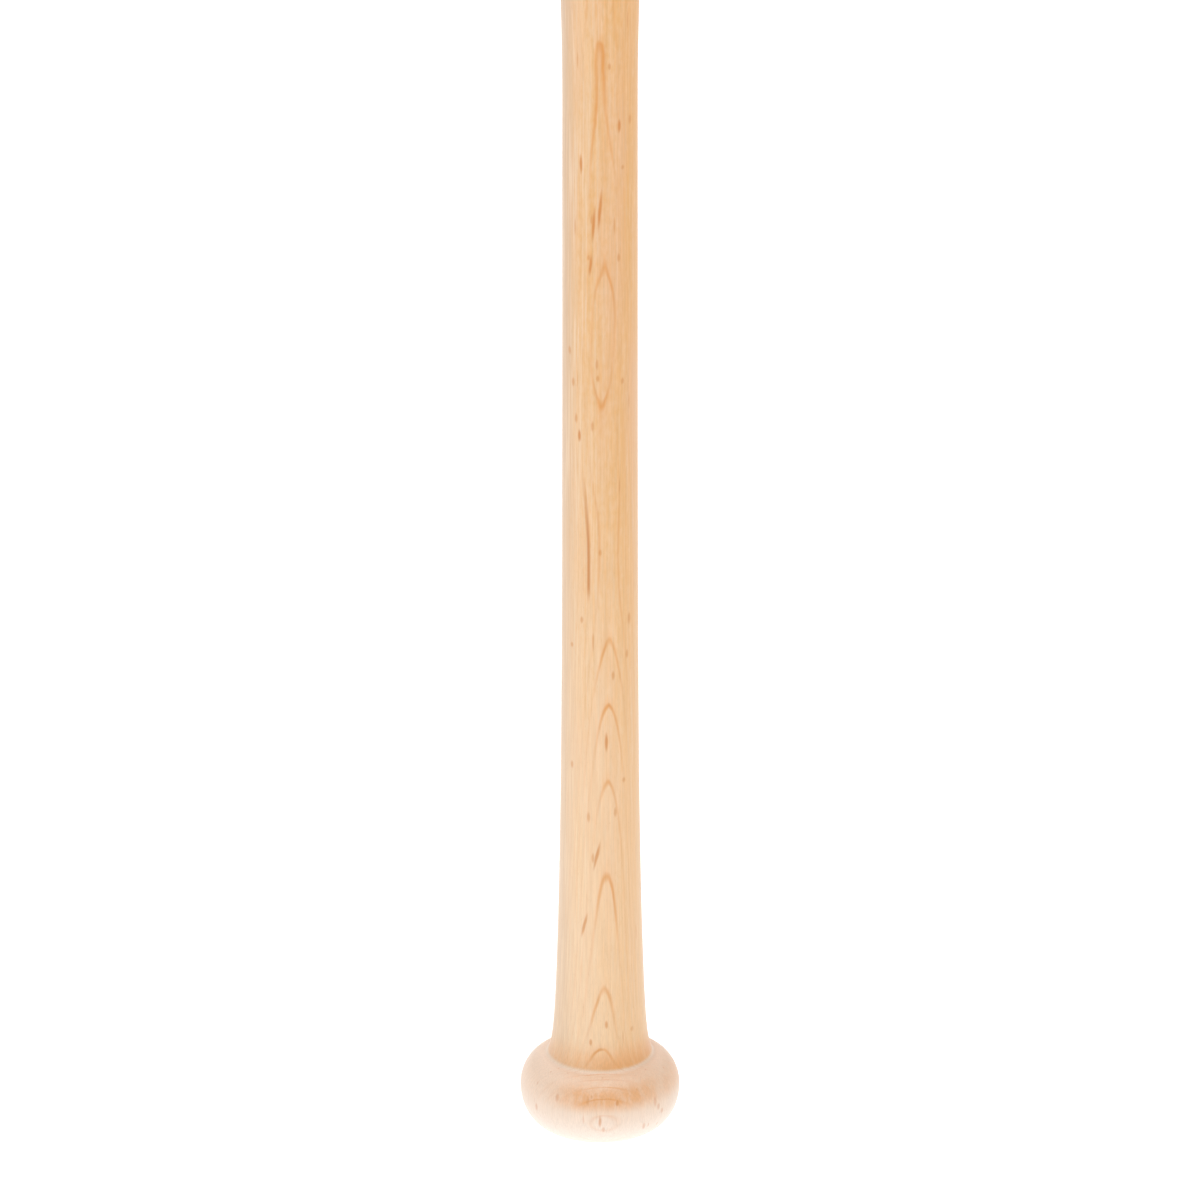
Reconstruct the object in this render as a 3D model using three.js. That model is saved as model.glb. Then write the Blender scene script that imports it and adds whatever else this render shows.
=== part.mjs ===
// A one-piece turned wooden baseball bat, 33 inches long, in pale natural maple.
// Millimetres. The bat stands on its knob: +Z runs up its axis from the middle of the knob's base.
// The bat is one billet of wood. It is held here as the zones that a batmaker names, each one a closed
// solid, and neighbours meet face to face on flat planes across the axis.
import * as THREE from "three";

// ---- driving dimensions ----
const INCH = 25.4;
const BAT_LENGTH = 33 * INCH;

const KNOB_RADIUS = 1.0 * INCH; // the knob is 2 inches across
const KNOB_BASE_RADIUS = 16.0; // the flat that the bat stands on
const KNOB_WIDEST_Z = 13.0;
const CREASE_Z = 23.7; // where the knob's shoulder meets the handle
const CREASE_RADIUS = 16.9;

const HANDLE_RADIUS = (15 / 32) * INCH; // the handle is 15/16 inch through
const FLARE_SWELL = 3.4; // what the long flare adds to the radius at the crease
const FLARE_REACH = 56.0; // the height over which the long flare dies away by a factor e
const FILLET_REACH = 5.0; // the same for the short fillet just above the crease

const SWELL_START_Z = 356.0; // below this the handle is straight
const WIDEST_Z = 700.0; // the widest place on the barrel
const BARREL_RADIUS = 1.25 * INCH; // the barrel is 2 1/2 inches through

const RIM_RADIUS = 21.0; // where the rounded tip runs out into the flat rim
const TIP_SHARPNESS = 9; // how late the barrel's side turns over into the tip
const CUP_RADIUS = 0.75 * INCH; // the cup is 1 1/2 inches wide at its mouth
const CUP_DEPTH = 0.8 * INCH;
const CUP_BOTTOM_RADIUS = 1.0; // the small flat that the cutter leaves in the middle of the cup

// The planes between the zones, from the knob to the tip.
const HANDLE_TOP_Z = 270.0;
const THROAT_TOP_Z = 450.0;
const TAPER_TOP_Z = 640.0;
const BARREL_TOP_Z = 800.0;

const SIDES = 48; // round about the axis
const BAND_HEIGHT = 22.0; // of one band of facets where the outline is nearly straight
const FLARE_STEPS = 14;
const FLARE_CROWDING = 2.4; // above 1, the handle's bands crowd together at the crease
const KNOB_STEPS = 9;
const TIP_STEPS = 10;
const CUP_STEPS = 8;

// ---- the outline, as a radius for each height ----

// Handle, throat, taper and the lower barrel.
function sideRadius(z) {
  const aboveCrease = z - CREASE_Z;
  const longFlare = FLARE_SWELL * Math.exp(-aboveCrease / FLARE_REACH);
  const fillet = CREASE_RADIUS - HANDLE_RADIUS - FLARE_SWELL;
  const shortFillet = fillet * Math.exp(-aboveCrease / FILLET_REACH);
  const swell = THREE.MathUtils.smoothstep(z, SWELL_START_Z, WIDEST_Z);
  return HANDLE_RADIUS + longFlare + shortFillet + (BARREL_RADIUS - HANDLE_RADIUS) * swell;
}

// Above the widest place the side and the rounded tip are one superellipse, given by its angle,
// which is 0 at the widest place and a quarter turn at the rim.
function tipPoint(angle) {
  const rise = Math.sin(angle) ** (2 / TIP_SHARPNESS);
  return new THREE.Vector2(
    RIM_RADIUS + (BARREL_RADIUS - RIM_RADIUS) * Math.cos(angle),
    WIDEST_Z + (BAT_LENGTH - WIDEST_Z) * rise,
  );
}

// The angle at which that superellipse reaches a height.
function tipAngleAt(z) {
  const rise = (z - WIDEST_Z) / (BAT_LENGTH - WIDEST_Z);
  return Math.asin(rise ** (TIP_SHARPNESS / 2));
}

function outerPoint(z) {
  return z > WIDEST_Z ? tipPoint(tipAngleAt(z)) : new THREE.Vector2(sideRadius(z), z);
}

// ---- stretches of outline, each from low to high ----

// A quarter of an ellipse about (centreRadius, centreZ), from one angle round to another.
function arc(centreRadius, centreZ, halfWidth, halfHeight, from, to, steps) {
  const clockwise = to < from;
  const curve = new THREE.EllipseCurve(
    centreRadius, centreZ, halfWidth, halfHeight, from, to, clockwise,
  );
  return curve.getPoints(steps);
}

// The side between two heights. A crowding of 1 makes all its bands equally high.
function side(fromZ, toZ, steps, crowding = 1) {
  const points = [];
  for (let i = 0; i <= steps; i++) {
    points.push(outerPoint(fromZ + (toZ - fromZ) * (i / steps) ** crowding));
  }
  return points;
}

function plainSide(fromZ, toZ) {
  return side(fromZ, toZ, Math.round((toZ - fromZ) / BAND_HEIGHT));
}

// The rounded tip from a height on the barrel up to the rim.
function tip(fromZ) {
  const points = [];
  for (let i = 0; i <= TIP_STEPS; i++) {
    points.push(tipPoint(THREE.MathUtils.lerp(tipAngleAt(fromZ), Math.PI / 2, i / TIP_STEPS)));
  }
  return points;
}

// ---- solids ----

// Turns an outline about +Z. Both ends of the outline are closed flat across the axis.
function turned(outline) {
  const bottom = new THREE.Vector2(0, outline[0].y);
  const top = new THREE.Vector2(0, outline[outline.length - 1].y);
  return new THREE.LatheGeometry([bottom, ...outline, top], SIDES).rotateX(Math.PI / 2);
}

function knobGeometry() {
  const quarterTurn = Math.PI / 2;
  const base = arc(
    KNOB_BASE_RADIUS, KNOB_WIDEST_Z, KNOB_RADIUS - KNOB_BASE_RADIUS, KNOB_WIDEST_Z,
    -quarterTurn, 0, KNOB_STEPS,
  );
  const shoulder = arc(
    CREASE_RADIUS, KNOB_WIDEST_Z, KNOB_RADIUS - CREASE_RADIUS, CREASE_Z - KNOB_WIDEST_Z,
    0, quarterTurn, KNOB_STEPS,
  );
  return turned([...base, ...shoulder.slice(1)]);
}

// The outline runs over the rounded tip, across the flat rim and down into the cup, which ends in a
// small flat.
function tipGeometry() {
  const cup = arc(0, BAT_LENGTH, CUP_RADIUS, CUP_DEPTH, 0, -Math.PI / 2, CUP_STEPS);
  const cupBottom = new THREE.Vector2(CUP_BOTTOM_RADIUS, BAT_LENGTH - CUP_DEPTH);
  return turned([...tip(BARREL_TOP_Z), ...cup.slice(0, -1), cupBottom]);
}

// ---- the wood, a little paler on the knob and a little deeper up the handle ----

function maple(colour) {
  return new THREE.MeshStandardMaterial({ color: colour, roughness: 0.55, metalness: 0.0 });
}

function zone(name, geometry, colour) {
  const mesh = new THREE.Mesh(geometry, maple(colour));
  mesh.name = name;
  return mesh;
}

const bat = new THREE.Group();
const handleSide = side(CREASE_Z, HANDLE_TOP_Z, FLARE_STEPS, FLARE_CROWDING);
bat.add(
  zone("knob", knobGeometry(), 0xf0d3b0),
  zone("handle", turned(handleSide), 0xeec79c),
  zone("throat", turned(plainSide(HANDLE_TOP_Z, THROAT_TOP_Z)), 0xebc294),
  zone("taper", turned(plainSide(THROAT_TOP_Z, TAPER_TOP_Z)), 0xedc598),
  zone("barrel", turned(plainSide(TAPER_TOP_Z, BARREL_TOP_Z)), 0xeec99e),
  zone("barrel_end", tipGeometry(), 0xf0cda4),
);

export default bat;
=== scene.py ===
import math

import bpy
import numpy as np
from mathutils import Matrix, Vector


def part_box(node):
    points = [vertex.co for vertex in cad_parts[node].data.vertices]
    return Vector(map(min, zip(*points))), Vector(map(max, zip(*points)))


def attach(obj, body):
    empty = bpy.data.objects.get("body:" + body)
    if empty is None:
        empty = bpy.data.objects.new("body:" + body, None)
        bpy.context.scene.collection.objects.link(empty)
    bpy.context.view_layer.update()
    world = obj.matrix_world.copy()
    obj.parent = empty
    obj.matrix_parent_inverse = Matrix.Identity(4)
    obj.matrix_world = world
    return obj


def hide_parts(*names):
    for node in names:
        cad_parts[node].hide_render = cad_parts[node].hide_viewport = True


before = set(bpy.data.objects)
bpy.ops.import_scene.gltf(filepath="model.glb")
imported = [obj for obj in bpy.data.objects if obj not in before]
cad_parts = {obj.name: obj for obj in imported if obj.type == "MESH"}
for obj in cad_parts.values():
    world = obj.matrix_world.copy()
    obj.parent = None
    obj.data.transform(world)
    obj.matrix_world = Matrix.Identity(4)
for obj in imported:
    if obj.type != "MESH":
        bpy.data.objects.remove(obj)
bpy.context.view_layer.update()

MM = 0.001
ZONES = ["knob", "handle", "throat", "taper", "barrel", "barrel_end"]

# ---- the outline, read from the frame ----

SEGMENTS = 144  # facets round the bat
SIDE_STEP = 2.0 * MM  # height of one band of facets on the side
KNOB_STEP = 0.9 * MM
LIP_ROUNDING = 0.8 * MM  # of the sharp edge where the rim turns down into the cup
LIP_POINTS = 6
COVE_REACH = 1.5 * MM  # of the hollow in the crease, out over the knob and up the handle
COVE_SINK = COVE_REACH / 100  # how far the hollow's foot lies under the knob's surface
COVE_POINTS = 7


def cad_outline(node):
    """A turned CAD node's (radius, height) points, from its column of vertices on the -Y side."""
    near_axis = 1e-6
    digits = 7
    corners = [v.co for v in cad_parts[node].data.vertices]
    column = [p for p in corners if abs(p.x) < near_axis and p.y < -near_axis]
    points = {(round(-p.y, digits), round(p.z, digits)) for p in column}
    return sorted(points, key=lambda point: point[1])


def rounded_lip(mouth, top):
    """A quarter circle from the rim's flat into the cup, with its first and last points."""
    turns = np.linspace(math.pi / 2, math.pi, LIP_POINTS)
    middle, low = mouth + LIP_ROUNDING, top - LIP_ROUNDING
    return [(middle + LIP_ROUNDING * math.cos(a), low + LIP_ROUNDING * math.sin(a)) for a in turns]


def cupped_outline(node):
    """The tip's outline: up its side, across the rim, over the lip and down into the cup."""
    points = cad_outline(node)
    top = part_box(node)[1].z
    mouth = min(radius for radius, height in points if height > top - LIP_ROUNDING / 10)
    side = [p for p in points if p[0] > mouth]
    cup = [p for p in points if p[0] < mouth]
    return side + rounded_lip(mouth, top) + cup[::-1]


def coved_outline(node):
    """The handle's outline, with the crease at its foot hollowed out and run out on to the knob."""
    side, knob = np.array(cad_outline(node)), np.array(cad_outline("knob"))
    shoulder = knob[knob[:, 0].argmax():][::-1]
    corner = side[0]
    foot_radius = corner[0] + COVE_REACH
    foot_height = np.interp(foot_radius, shoulder[:, 0], shoulder[:, 1]) - COVE_SINK
    foot = np.array([foot_radius, foot_height])
    top_height = corner[1] + COVE_REACH
    top = np.array([np.interp(top_height, side[:, 1], side[:, 0]), top_height])
    t = np.linspace(0, 1, COVE_POINTS)[:, None]
    cove = (1 - t) ** 2 * foot + 2 * t * (1 - t) * corner + t**2 * top
    return [tuple(p) for p in cove] + [tuple(p) for p in side if p[1] > top[1] + COVE_REACH / 4]


def smooth_curve(points, step):
    """A smooth curve through points: its places, its directions and each point's index in them."""
    points = np.array(points)
    along = np.concatenate([[0.0], np.cumsum(np.linalg.norm(np.diff(points, axis=0), axis=1))])
    slopes = np.gradient(points, along, axis=0, edge_order=2)
    places, directions, stops = [points[:1]], [slopes[:1]], [0]
    for i in range(len(points) - 1):
        span = along[i + 1] - along[i]
        count = max(1, math.ceil(span / step - 1e-6))
        t = (np.arange(1, count + 1) / count)[:, None]
        a, b, da, db = points[i], points[i + 1], slopes[i] * span, slopes[i + 1] * span
        turn, rest = 3 * (b - a) - 2 * da - db, 2 * (a - b) + da + db
        places.append(a + t * (da + t * (turn + t * rest)))
        directions.append(da + t * (2 * turn + t * 3 * rest))
        stops.append(stops[-1] + count)
    directions = np.concatenate(directions)
    directions /= np.linalg.norm(directions, axis=1)[:, None]
    return np.concatenate(places), directions, stops


def zone_outlines():
    """Each zone's fine outline, as places and directions. Above the crease all are on one curve."""
    outlines = {"knob": smooth_curve(cad_outline("knob"), KNOB_STEP)[:2]}
    special = {"handle": coved_outline, "barrel_end": cupped_outline}
    points, ends = [], []
    for node in ZONES[1:]:
        own = special.get(node, cad_outline)(node)
        points += own if not points else own[1:]
        ends.append(len(points) - 1)
    places, directions, stops = smooth_curve(points, SIDE_STEP)
    start = 0
    for node, end in zip(ZONES[1:], ends):
        part = slice(stops[start], stops[end] + 1)
        outlines[node] = (places[part], directions[part])
        start = end
    return outlines


OUTLINES = zone_outlines()


def radius_at(height):
    """The bat's outer radius at a height, in metres."""
    side = np.concatenate([OUTLINES[node][0] for node in ZONES[:-1]])
    return float(np.interp(height, side[:, 1], side[:, 0]))


# ---- the pieces ----


def turned_mesh(name, places, directions):
    """A closed solid turned about the axis, smooth along its outline and flat across both ends."""
    angles = np.arange(SEGMENTS) * 2 * math.pi / SEGMENTS
    around = np.stack([np.cos(angles), np.sin(angles)], axis=1)
    rings = len(places)
    vertices = np.empty((rings, SEGMENTS, 3))
    vertices[:, :, :2] = places[:, None, :1] * around[None]
    vertices[:, :, 2] = places[:, None, 1]
    quads, quad_rings = [], []
    for i in range(rings - 1):
        for j in range(SEGMENTS):
            k = (j + 1) % SEGMENTS
            low, high = i * SEGMENTS, (i + 1) * SEGMENTS
            quads.append((low + j, low + k, high + k, high + j))
    bottom = tuple(range(SEGMENTS))[::-1]
    top = tuple(range((rings - 1) * SEGMENTS, rings * SEGMENTS))
    mesh = bpy.data.meshes.new(name)
    mesh.from_pydata(vertices.reshape(-1, 3).tolist(), [], quads + [bottom, top])
    side_normals = np.empty((rings, SEGMENTS, 3))
    side_normals[:, :, :2] = directions[:, None, 1:] * around[None]
    side_normals[:, :, 2] = -directions[:, None, 0]
    side_normals = side_normals.reshape(-1, 3)
    mesh.shade_smooth()
    normals = [tuple(side_normals[v]) for quad in quads for v in quad]
    normals += [(0, 0, -1)] * SEGMENTS
    normals += [(0, 0, 1)] * SEGMENTS
    mesh.normals_split_custom_set(normals)
    return mesh


def add_zone(node, material):
    places, directions = OUTLINES[node]
    piece = bpy.data.objects.new("maple_" + node, turned_mesh("maple_" + node, places, directions))
    bpy.context.scene.collection.objects.link(piece)
    piece.data.materials.append(material)
    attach(piece, "root")
    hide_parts(node)
    return piece


# ---- the wood ----


def paint(red, green, blue):
    """A colour given by its 0 to 255 screen values, as the linear one that shaders use."""
    channels = [value / 255 for value in (red, green, blue)]
    linear = [c / 12.92 if c <= 0.04045 else ((c + 0.055) / 1.055) ** 2.4 for c in channels]
    return (*linear, 1.0)


CREAM = paint(237, 195, 149)
GOLD = paint(231, 174, 105)
PALE_AND_PAINTED_LIGHT = paint(254, 224, 188)  # towards the knob: partly paler wood, partly painted light
# Painted light over the whole knob, below the crease.
KNOB_PAINTED_LIGHT = paint(250, 227, 209)
BASE_PAINTED_LIGHT = paint(250, 237, 225)  # painted light from below, round the knob's base
BLUSH = paint(236, 190, 158)
LEFT_EDGE_SHADE = paint(207, 175, 144)  # painted shade along the bat's left edge
SILVER = paint(243, 216, 186)  # thin pale bands, most of them on the left
# Painted shade: a tan band round the knob's front and in the crease at the handle's foot.
PAINTED_SHADE_TAN = paint(238, 173, 111)
RING_ORANGE = paint(235, 160, 78)
RING_BROWN = paint(224, 146, 62)
STREAK_BROWN = paint(200, 122, 44)
FLECK_BROWN = paint(212, 132, 54)
PORE_BROWN = paint(204, 152, 98)

# Places in the grain are in millimetres. A ring number is counted inwards from the flat-sawn face.
RING_WIDTH = 1.1
OUTER_RING_WIDTH = 2.4  # of the wider rings further out than OUTER_DEPTH
OUTER_DEPTH = 16.0
PITH_DISTANCE = 120.0  # from the bat's axis to the heart of the tree, on the +Y side
GRAIN_TOP = 840.0  # the height at which the curves below end

# The arches on the flat-sawn face, from a small one just above the crease to the topmost. From the
# second one up, each gap is smaller than the one below it by the same factor.
CREASE_ARCH = 32.0
FIRST_ARCH = 52.0
ARCH_GAP = 38.0
ARCH_SHRINK = 0.85
FULL_ARCHES = 5
GAPS_BELOW = [(1 - ARCH_SHRINK**i) / (1 - ARCH_SHRINK) for i in range(FULL_ARCHES)]
ARCHES = [CREASE_ARCH] + [FIRST_ARCH + ARCH_GAP * gaps for gaps in GAPS_BELOW]
TOP_ARCH = ARCHES[-1]

# The closed ring over the arches.
RING_MIDDLE = 277.5
RING_HALF_HEIGHT = 22.5
RING_DIP = 0.46  # how many rings shallower the cut is in its middle
RING_LOW = RING_MIDDLE - RING_HALF_HEIGHT
RING_HIGH = RING_MIDDLE + RING_HALF_HEIGHT


def face_rings():
    """Heights, and how many rings the flat-sawn face has been cut through there.

    Each whole number that this climbs past makes the point of an arch. A dip makes a closed ring.
    """
    whole = len(ARCHES) - 1
    places = np.linspace(-1, 1, 6)
    dip = [(RING_MIDDLE + RING_HALF_HEIGHT * u, whole + RING_DIP * (u**2 - 1)) for u in places]
    crest = [
        (TOP_ARCH + 30, whole + 0.66), (RING_LOW - 26, whole + 0.28), (RING_LOW - 13, whole + 0.16),
    ]
    long_arch = [(28, 0.36), (52, 0.90), (74, 0.96), (100, 1.2)]
    above = [(RING_HIGH + rise, whole + rings) for rise, rings in long_arch]
    return [(height, i) for i, height in enumerate(ARCHES)] + crest + dip + above


FACE_RINGS = face_rings()

# How far the run of the arches is from the bat's middle line at each height.
FACE_CENTRE = [
    (0.0, 0.5), (20.0, 0.5), (FIRST_ARCH, 1.5), (TOP_ARCH, 3.0), (TOP_ARCH + 35, 3.0),
    (RING_LOW, 0.5), (RING_HIGH, 1.4), (RING_HIGH + 45, 0.4), (RING_HIGH + 75, 0.0),
    (GRAIN_TOP, 0.0),
]
# The slope of the grain beyond the arches: height, and rings crossed along the axis.
PLAIN_RINGS = [
    (0.0, 12.8), (12.0, 13.35), (23.7, 14.1), (450.0, 17.4), (640.0, 18.2), (840.0, 19.6),
]
RING_LEVELS = (10.0, 20.0)  # the ring numbers on the axis lie between these
TILT_LIMIT = 0.5  # of the rings across the bat, which follow the run of the arches

FLECK_SEED = 5  # small brown flecks
HANDLE_FLECKS = 26  # small ones, scattered over the flat-sawn face
KNOB_FLECKS = 9
FLECKS_TOP = 370.0
FLECK_SPREAD = 0.8  # of the bat's radius, to either side
FLECK_LENGTHS = (1.8, 4.5)
FLECK_WIDTH = 1.15
FLECK_DEPTH = 2.0

# Heights at which the outline changes, as in the CAD model.
SWELL_START = 356.0
WIDEST = 700.0
TIP_START = 800.0

# How strongly each feature of the wood shows in the colour, from 0 to 1.
SKIRT_SHOWS = 0.34
LINE_SHOWS = 0.76
RAYS_SHOW = 0.18
PORES_SHOW = 0.20
SCATTERED_FLECKS_SHOW = 0.5
STREAK_SHOWS = 0.80

SHADE_MIDDLE_X = 3.0  # of the knob's band of painted shade
STREAK_X = -3.6
STREAK_BEND = 0.0022  # how fast the streak leaves its straight line above STREAK_BEND_START
STREAK_BEND_START = 200.0
GRAIN_RELIEF = 0.03 * MM


def scatter(chance, count, low, high):
    """The x, height and length of flecks scattered over the flat-sawn face between two heights."""
    flecks = []
    for _ in range(count):
        height = chance.uniform(low, high)
        x = chance.uniform(-FLECK_SPREAD, FLECK_SPREAD) * radius_at(height * MM) / MM
        flecks.append((x, height, chance.uniform(*FLECK_LENGTHS)))
    return flecks


def fleck_groups():
    """The flecks on the flat-sawn face, in groups.

    Each group has its strength and its lean, which is how far a fleck goes sideways over its
    length. Then come the x, height and length of each. The strong ones lie under the arches'
    points, round the closed ring and on the knob.
    """
    chance = np.random.default_rng(FLECK_SEED)
    first, second, third, fourth = ARCHES[1:5]
    upright = [
        (2, fourth - 12, 7), (2, first - 12, 3), (-3, CREASE_ARCH + 2, 2.5),
        (-6.5, RING_LOW - 12, 4.5), (-6, RING_HIGH + 36, 7), (6, RING_HIGH + 49, 5),
        (0, 11, 4.5), (5.5, 17, 2),
    ]
    above_ring = [(0, RING_HIGH + 21, 15), (-2, RING_HIGH + 16, 12), (-3, RING_HIGH + 2, 8)]
    low_left = [(-1, third - 24, 10), (-5, second - 16, 9)]
    faint = scatter(chance, HANDLE_FLECKS, CREASE_ARCH, FLECKS_TOP)
    faint += scatter(chance, KNOB_FLECKS, 6.0, 20.0)
    return [(1.0, 0.0, upright), (1.0, 0.08, above_ring), (1.0, 0.22, low_left), (0.6, 0.0, faint)]


class NodeTree:
    """Adds nodes to one material. A value is a number, a tuple or another node's output."""

    def __init__(self, material):
        material.use_nodes = True
        self.tree = material.node_tree
        self.tree.nodes.clear()

    def add(self, kind, inputs, **settings):
        node = self.tree.nodes.new(kind)
        for name, value in settings.items():
            setattr(node, name, value)
        for name, value in inputs.items():
            if isinstance(value, bpy.types.NodeSocket):
                self.tree.links.new(value, node.inputs[name])
            else:
                node.inputs[name].default_value = value
        return node

    def math(self, operation, *values):
        return self.add("ShaderNodeMath", dict(enumerate(values)), operation=operation).outputs[0]

    def vector(self, operation, *values):
        inputs = dict(enumerate(values))
        return self.add("ShaderNodeVectorMath", inputs, operation=operation).outputs[0]

    def length(self, value):
        return self.add("ShaderNodeVectorMath", {0: value}, operation="LENGTH").outputs["Value"]

    def ramp(self, value, low, high, at_low=0.0, at_high=1.0):
        """at_low where value is low, at_high where it is high, and a smooth step between."""
        inputs = {
            "Value": value, "From Min": low, "From Max": high, "To Min": at_low, "To Max": at_high,
        }
        node = self.add("ShaderNodeMapRange", inputs, interpolation_type="SMOOTHSTEP")
        return node.outputs["Result"]

    def mix(self, factor, a, b, blend="MIX"):
        inputs = {0: factor, 6: a, 7: b}
        return self.add("ShaderNodeMix", inputs, data_type="RGBA", blend_type=blend).outputs[2]

    def noise(self, place, size, seed, detail=2.0):
        """Noise from 0 to 1 whose blobs are about size (x, y, z) millimetres."""
        scale = tuple(1 / s for s in size)
        moved = self.vector("MULTIPLY_ADD", place, scale, (seed * 7.3, seed * 3.1, seed * 5.7))
        inputs = {"Vector": moved, "Scale": 1.0, "Detail": detail, "Roughness": 0.5}
        return self.add("ShaderNodeTexNoise", inputs).outputs[0]

    def curve(self, value, points, low, high):
        """A smooth curve through (height, level) points, with every level between low and high."""
        node = self.add("ShaderNodeFloatCurve", {"Value": self.math("DIVIDE", value, GRAIN_TOP)})
        line = node.mapping.curves[0]
        scaled = [(height / GRAIN_TOP, (level - low) / (high - low)) for height, level in points]
        line.points[0].location, line.points[1].location = scaled[0], scaled[-1]
        for point in scaled[1:-1]:
            line.points.new(*point)
        for point in line.points:
            point.handle_type = "AUTO_CLAMPED"
        node.mapping.update()
        return self.math("MULTIPLY_ADD", node.outputs[0], high - low, low)


def rings_from_face(depth):
    """How many rings lie between the axis and a depth in millimetres towards the flat-sawn face."""
    outer = max(depth - OUTER_DEPTH, 0.0)
    return (depth - outer) / RING_WIDTH + outer / OUTER_RING_WIDTH


def face_curvature(height):
    """How fast the flat-sawn face curves away from the rings at a height, per millimetre."""
    radius = radius_at(min(height, TIP_START) * MM) / MM
    return PITH_DISTANCE / ((PITH_DISTANCE + radius) * radius)


def face_level(height, rings):
    """The ring number on the axis that puts a given one on the arches' middle line."""
    shift = float(np.interp(height, *zip(*FACE_CENTRE)))
    sideways = face_curvature(height) * shift**2 / 2 / RING_WIDTH
    return rings + rings_from_face(radius_at(height * MM) / MM) + sideways


def ring_number(grain, place, x, y, z):
    """The ring that a place in the wood is in, as a number that grows towards the pith."""
    from_pith_y = grain.math("SUBTRACT", y, PITH_DISTANCE)
    from_pith = grain.add("ShaderNodeCombineXYZ", {0: x, 1: from_pith_y}).outputs[0]
    depth = grain.math("SUBTRACT", grain.length(from_pith), PITH_DISTANCE)
    outer = grain.math("MAXIMUM", grain.math("SUBTRACT", depth, OUTER_DEPTH), 0.0)
    widening = grain.math("MULTIPLY", outer, 1 / RING_WIDTH - 1 / OUTER_RING_WIDTH)
    rings = grain.math("MULTIPLY_ADD", depth, -1 / RING_WIDTH, widening)

    level = sorted(PLAIN_RINGS + [(height, face_level(height, n)) for height, n in FACE_RINGS])
    rings = grain.math("ADD", rings, grain.curve(z, level, *RING_LEVELS))

    tilt = [(height, shift * face_curvature(height)) for height, shift in FACE_CENTRE]
    tilt = grain.math("MULTIPLY", grain.curve(z, tilt, -TILT_LIMIT, TILT_LIMIT), x)
    rings = grain.math("MULTIPLY_ADD", tilt, -1 / RING_WIDTH, rings)

    slow = grain.math("SUBTRACT", grain.noise(place, (16, 16, 70), seed=1, detail=1.0), 0.5)
    quick = grain.math("SUBTRACT", grain.noise(place, (2.5, 2.5, 14), seed=2), 0.5)
    slow_waver, quick_waver = 0.12, 0.08
    rings = grain.math("MULTIPLY_ADD", slow, slow_waver, rings)
    return grain.math("MULTIPLY_ADD", quick, quick_waver, rings)


def ring_lines(grain, place, rings, x, z):
    """The late wood: a dark line at each whole ring number, and its softer, wider outward side."""
    part = grain.math("FRACT", rings)
    from_half = grain.math("ABSOLUTE", grain.math("SUBTRACT", part, 0.5))
    from_line = grain.math("SUBTRACT", 0.5, from_half)
    patches = grain.noise(place, (5, 5, 34), seed=3, detail=1.0)
    strength = grain.ramp(patches, 0.34, 0.60, 0.50, 1.0)
    underside = grain.ramp(z, 10.0, 18.0, 0.30, 1.0)
    crease = grain.ramp(z, 22.0, 26.0, 0.60, 1.0)
    strength = grain.math("MULTIPLY", strength, grain.math("MULTIPLY", underside, crease))

    # The lines fade away from the middle of the arches, over a width that goes with the bat's own.
    above_knob = grain.ramp(z, SWELL_START, WIDEST, 10.0, 27.0)
    on_knob = grain.ramp(z, 24.0, 26.0, 9.0, 0.0)
    half_width = grain.math("ADD", above_knob, on_knob)
    widest_shift = 4.0
    centre = grain.curve(z, FACE_CENTRE, 0.0, widest_shift)
    from_centre = grain.math("ABSOLUTE", grain.math("SUBTRACT", x, centre))
    aside = grain.math("DIVIDE", from_centre, half_width)
    strength = grain.math("MULTIPLY", strength, grain.ramp(aside, 0.08, 0.52, 1.0, 0.14))
    thickness = grain.ramp(aside, 0.0, 0.6, 0.06, 0.24)
    line = grain.math("MULTIPLY", grain.ramp(from_line, 0.0, thickness, 1.0, 0.0), strength)
    skirt = grain.math("MULTIPLY", grain.ramp(part, -0.10, 0.22, 1.0, 0.0), strength)
    return line, skirt


def face_flecks(grain, place, x, y, z):
    """The strength of the flecks: highest in the middle of each, 0 away from them."""
    waver = 0.35
    wobble = grain.noise(place, (1.5, 1.5, 4), seed=4, detail=1.0)
    x = grain.math("MULTIPLY_ADD", wobble, waver, grain.math("SUBTRACT", x, waver / 2))
    flecks = 0.0
    for strength, lean, group in fleck_groups():
        upright_x = grain.math("MULTIPLY_ADD", z, -lean, x)
        upright = grain.add("ShaderNodeCombineXYZ", {0: upright_x, 1: y, 2: z}).outputs[0]
        nearest = 10.0  # fleck radii, well outside every fleck
        for fleck_x, height, length in group:
            radius = radius_at(height * MM) / MM
            centre = (fleck_x - lean * height, -math.sqrt(radius**2 - fleck_x**2), height)
            half = (FLECK_WIDTH / 2, FLECK_DEPTH / 2, length / 2)
            offset = tuple(-c / h for c, h in zip(centre, half))
            scaled = grain.vector("MULTIPLY_ADD", upright, tuple(1 / h for h in half), offset)
            nearest = grain.math("MINIMUM", nearest, grain.length(scaled))
        flecks = grain.math("MAXIMUM", flecks, grain.ramp(nearest, 0.35, 1.25, strength, 0.0))
    return flecks


def scattered_flecks(grain, place):
    """The same kind of fleck, scattered through all the wood."""
    cells = (1 / 3.6, 1 / 3.6, 1 / 34)
    inputs = {"Vector": grain.vector("MULTIPLY", place, cells), "Scale": 1.0, "Randomness": 1.0}
    node = grain.add("ShaderNodeTexVoronoi", inputs)
    return grain.ramp(node.outputs["Distance"], 0.05, 0.12, 1.0, 0.0)


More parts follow.
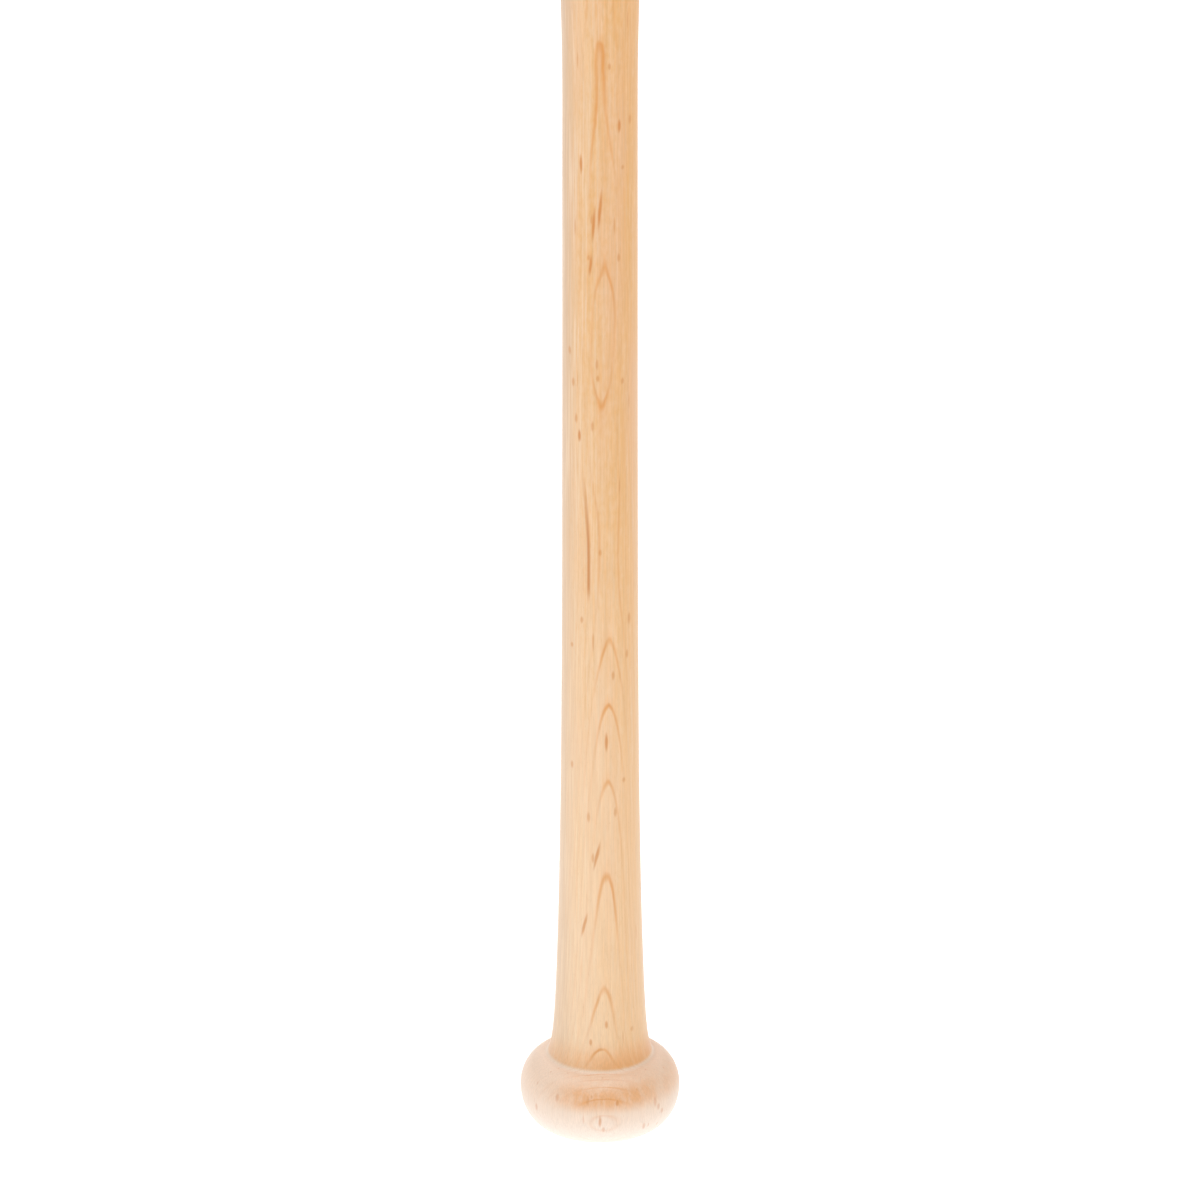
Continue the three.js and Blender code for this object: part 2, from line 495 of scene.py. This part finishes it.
def mineral_streak(grain, x, y, z):
    """The one dark streak beside the arches, which leans away from the middle at its top."""
    bend = grain.math("MAXIMUM", grain.math("SUBTRACT", z, STREAK_BEND_START), 0.0)
    line = grain.math("MULTIPLY_ADD", grain.math("MULTIPLY", bend, bend), -STREAK_BEND, STREAK_X)
    across = grain.math("ABSOLUTE", grain.math("SUBTRACT", x, line))
    width = grain.ramp(across, 0.10, 0.80, 1.0, 0.0)
    below = grain.ramp(z, 185.0, 192.0)
    above = grain.ramp(z, 206.0, 236.0, 1.0, 0.0)
    facing = grain.ramp(y, -3.0, 0.0, 1.0, 0.0)
    ends = grain.math("MULTIPLY", below, above)
    return grain.math("MULTIPLY", grain.math("MULTIPLY", width, ends), facing)


def painted_shade_bands(grain, x, z, bands):
    """How much painted shade, in tan, lies in a band round the knob and round the handle's foot
    just above the crease.
    """
    # On the knob the painted shade is widest and strongest in front, with a little on the right.
    knob = grain.math("MULTIPLY", grain.ramp(z, 12.5, 17.5), grain.ramp(z, 19.0, 23.6, 0.9, 0.35))
    knob = grain.math("MULTIPLY", knob, grain.ramp(z, 23.6, 24.6, 1.0, 0.0))
    from_middle = grain.math("ABSOLUTE", grain.math("SUBTRACT", x, SHADE_MIDDLE_X))
    in_front = grain.ramp(from_middle, 8.0, 22.0, 0.88, 0.12)
    on_right = grain.ramp(x, 12.0, 22.0, 0.12, 0.50)
    knob = grain.math("MULTIPLY", knob, grain.math("MAXIMUM", in_front, on_right))

    # Painted shade in the crease, on the handle's foot.
    foot = grain.math("MULTIPLY", grain.ramp(z, 24.3, 25.6), grain.ramp(z, 26.0, 35.0, 0.80, 0.0))
    foot = grain.math("MULTIPLY", foot, grain.ramp(x, -12.0, 8.0, 0.55, 1.0))
    both = grain.math("MAXIMUM", knob, foot)
    return grain.math("MULTIPLY", both, grain.ramp(bands, 0.3, 0.6, 0.7, 1.0))


def maple():
    """Pale natural maple under a thin satin finish."""
    material = bpy.data.materials.new("maple")
    grain = NodeTree(material)
    coordinates = grain.add("ShaderNodeTexCoord", {})
    place = grain.vector("MULTIPLY", coordinates.outputs["Object"], (1 / MM, 1 / MM, 1 / MM))
    axes = grain.add("ShaderNodeSeparateXYZ", {0: place}).outputs
    x, y, z = axes[0], axes[1], axes[2]

    rings = ring_number(grain, place, x, y, z)
    line, skirt = ring_lines(grain, place, rings, x, z)
    bands = grain.noise(place, (1.8, 1.8, 80), seed=5, detail=3.0)
    mottle = grain.noise(place, (1.1, 1.1, 3.2), seed=10, detail=2.0)
    fibres = grain.noise(place, (0.35, 0.35, 16), seed=6, detail=3.0)
    pores = grain.ramp(grain.noise(place, (0.16, 0.16, 3.0), seed=7, detail=1.0), 0.64, 0.74)
    rays = grain.ramp(grain.noise(place, (0.18, 2.6, 0.8), seed=8, detail=1.0), 0.64, 0.76)
    placed = face_flecks(grain, place, x, y, z)
    scattered = grain.math("MULTIPLY", scattered_flecks(grain, place), SCATTERED_FLECKS_SHOW)
    flecks = grain.math("MAXIMUM", placed, scattered)
    streak = mineral_streak(grain, x, y, z)

    # The wood turns from pinkish cream to gold across the bat, with soft bands along it.
    across = grain.math("MULTIPLY_ADD", x, 0.034, grain.math("MULTIPLY", bands, 0.9))
    across = grain.math("MULTIPLY_ADD", mottle, 0.80, across)
    colour = grain.mix(grain.ramp(across, 0.40, 1.30), CREAM, GOLD)
    blush = grain.noise(place, (9, 9, 90), seed=9, detail=1.0)
    colour = grain.mix(grain.ramp(blush, 0.45, 0.75, 0.0, 0.35), colour, BLUSH)
    # Painted shade, greyer and darker, along the bat's left edge on its lower part.
    left_edge_shade = grain.ramp(x, -12.0, -6.5, 0.7, 0.0)
    left_edge_shade = grain.math("MULTIPLY", left_edge_shade, grain.ramp(y, 0.0, 9.0, 1.0, 0.0))
    left_edge_shade = grain.math("MULTIPLY", left_edge_shade, grain.ramp(z, 380.0, 520.0, 1.0, 0.0))
    colour = grain.mix(left_edge_shade, colour, LEFT_EDGE_SHADE)
    silver = grain.ramp(grain.noise(place, (0.9, 0.9, 34), seed=11, detail=2.0), 0.50, 0.68)
    silver = grain.math("MULTIPLY", silver, grain.ramp(x, -9.0, 3.0, 0.50, 0.15))
    colour = grain.mix(silver, colour, SILVER)

    # It grows paler down the handle, partly paler wood and partly painted light, and the knob below
    # the crease gets painted light all over. A tan band of painted shade goes round the knob's
    # front and into the crease at the handle's foot, and round the knob's base lies painted light
    # from below.
    paler_and_painted_light = grain.ramp(z, 20.0, 330.0, 0.60, 0.0)
    paler_and_painted_light = grain.math("MULTIPLY", paler_and_painted_light, grain.ramp(x, -3.0, 10.0, 1.0, 0.75))
    paler_and_painted_light = grain.math("MULTIPLY", paler_and_painted_light, grain.ramp(x, -13.0, -8.5, 0.72, 1.0))
    colour = grain.mix(paler_and_painted_light, colour, PALE_AND_PAINTED_LIGHT)
    colour = grain.mix(grain.ramp(z, 24.1, 25.5, 0.80, 0.0), colour, KNOB_PAINTED_LIGHT)
    colour = grain.mix(painted_shade_bands(grain, x, z, bands), colour, PAINTED_SHADE_TAN)
    colour = grain.mix(grain.ramp(z, 3.0, 15.0, 0.80, 0.0), colour, BASE_PAINTED_LIGHT)

    # The rings, pores, flecks and the streak lie over it.
    colour = grain.mix(grain.math("MULTIPLY", skirt, SKIRT_SHOWS), colour, RING_ORANGE)
    colour = grain.mix(grain.math("MULTIPLY", line, LINE_SHOWS), colour, RING_BROWN)
    colour = grain.mix(grain.math("MULTIPLY", rays, RAYS_SHOW), colour, PORE_BROWN)
    colour = grain.mix(grain.math("MULTIPLY", pores, PORES_SHOW), colour, PORE_BROWN)
    flecks = grain.math("MULTIPLY", flecks, grain.ramp(z, 0.0, 200.0, 0.55, 0.82))
    colour = grain.mix(flecks, colour, FLECK_BROWN)
    colour = grain.mix(grain.math("MULTIPLY", streak, STREAK_SHOWS), colour, STREAK_BROWN)
    shade = grain.ramp(fibres, 0.25, 0.75, 0.95, 1.04)
    shades = grain.add("ShaderNodeCombineXYZ", {0: shade, 1: shade, 2: shade}).outputs[0]
    colour = grain.mix(1.0, colour, shades, "MULTIPLY")

    rough = grain.ramp(fibres, 0.3, 0.7, 0.46, 0.56)
    rough = grain.math("MULTIPLY_ADD", line, -0.05, rough)
    dents = grain.math("ADD", pores, grain.math("MULTIPLY", rays, 0.5))
    height = grain.math("MULTIPLY_ADD", dents, -0.5, fibres)
    relief = {"Strength": 0.35, "Distance": GRAIN_RELIEF, "Height": height}
    bump = grain.add("ShaderNodeBump", relief)
    inputs = {
        "Base Color": colour, "Roughness": rough, "Normal": bump.outputs[0],
        "Specular IOR Level": 0.35, "Coat Weight": 0.35, "Coat Roughness": 0.30, "Coat IOR": 1.5,
    }
    shader = grain.add("ShaderNodeBsdfPrincipled", inputs)
    grain.add("ShaderNodeOutputMaterial", {"Surface": shader.outputs[0]})
    return material


# ---- the stage ----

FLOOR_RADIUS = 19.0
SWEEP_RADIUS = 21.5  # the floor's edge sweeps up, so that the floor is the background too
SWEEP_HEIGHT = 1.5
FLOOR_SIDES = 96
FLOOR_GAP = 0.3 * MM  # below the knob's base, so that the two flats don't lie in one plane
FLOOR_GREY = 0.2  # what the floor gives back of the light, which its own glow makes up to white
FLOOR_GLOW = 1.22
SHADOWED_FLOOR_GLOW = 1.12  # right under the bat, a painted shadow where the floor glows less
FLOOR_SHADOW_REACH = 0.16  # metres, from the bat to where the painted shadow ends and the glow is whole again
ROOM_LIGHT = 0.24


def add_floor():
    """A round floor whose edge sweeps up to a rim."""
    turns = [2 * math.pi * i / FLOOR_SIDES for i in range(FLOOR_SIDES)]
    edge = [(FLOOR_RADIUS * math.cos(a), FLOOR_RADIUS * math.sin(a), 0) for a in turns]
    rim = [(SWEEP_RADIUS * math.cos(a), SWEEP_RADIUS * math.sin(a), SWEEP_HEIGHT) for a in turns]
    after = [(i + 1) % FLOOR_SIDES for i in range(FLOOR_SIDES)]
    sweep = [(i, j, FLOOR_SIDES + j, FLOOR_SIDES + i) for i, j in enumerate(after)]
    mesh = bpy.data.meshes.new("floor")
    mesh.from_pydata(edge + rim, [], [tuple(range(FLOOR_SIDES)), *sweep])
    floor = bpy.data.objects.new("floor", mesh)
    floor.location.z = -FLOOR_GAP
    bpy.context.scene.collection.objects.link(floor)
    material = bpy.data.materials.new("pale_floor")
    nodes = NodeTree(material)
    place = nodes.add("ShaderNodeTexCoord", {}).outputs["Object"]
    # A painted shadow: the floor glows less right under the bat.
    glow = nodes.ramp(nodes.length(place), 0.0, FLOOR_SHADOW_REACH, SHADOWED_FLOOR_GLOW, FLOOR_GLOW)
    inputs = {
        "Base Color": (FLOOR_GREY, FLOOR_GREY, FLOOR_GREY, 1), "Roughness": 0.9,
        "Specular IOR Level": 0.0,
        "Emission Color": (1, 1, 1, 1), "Emission Strength": glow,
    }
    shader = nodes.add("ShaderNodeBsdfPrincipled", inputs)
    nodes.add("ShaderNodeOutputMaterial", {"Surface": shader.outputs[0]})
    mesh.materials.append(material)


def add_softbox(name, place, size, power):
    """A soft square light, in metres and watts, that shines at the middle of the floor."""
    light = bpy.data.lights.new(name, "AREA")
    light.shape = "SQUARE"
    light.size = size
    light.energy = power
    box = bpy.data.objects.new(name, light)
    box.location = place
    box.rotation_euler = (-Vector(place)).to_track_quat("-Z", "Y").to_euler()
    box.visible_camera = False
    bpy.context.scene.collection.objects.link(box)


def add_room():
    world = bpy.data.worlds.new("room")
    world.use_nodes = True
    background = world.node_tree.nodes["Background"]
    background.inputs["Color"].default_value = (1, 1, 1, 1)
    background.inputs["Strength"].default_value = ROOM_LIGHT
    bpy.context.scene.world = world
    bpy.context.scene.view_settings.view_transform = "Standard"


# ---- the camera ----

ELEVATION = math.radians(24.0)
LENS = 750.0  # millimetres, on a sensor 36 millimetres wide: a long lens from far off
SENSOR = 36.0
VIEW_WIDTH = 380.0 * MM  # of the object that the square picture takes in
AIM_HEIGHT = 181.7 * MM


def add_camera():
    data = bpy.data.cameras.new("camera")
    data.sensor_width = SENSOR
    data.lens = LENS
    data.clip_start = 0.1
    data.clip_end = 100.0
    distance = VIEW_WIDTH * LENS / SENSOR
    camera = bpy.data.objects.new("camera", data)
    back, rise = distance * math.cos(ELEVATION), distance * math.sin(ELEVATION)
    camera.location = (0, -back, AIM_HEIGHT + rise)
    camera.rotation_euler = (math.pi / 2 - ELEVATION, 0, 0)
    bpy.context.scene.collection.objects.link(camera)
    bpy.context.scene.camera = camera


# ---- everything ----

add_camera()
wood = maple()
for zone in ZONES:
    add_zone(zone, wood)
add_floor()
add_room()
add_softbox("softbox_above", place=(-0.15, -0.2, 2.3), size=3.0, power=55.0)
add_softbox("softbox_behind", place=(0.0, 2.6, 1.6), size=2.6, power=14.5)
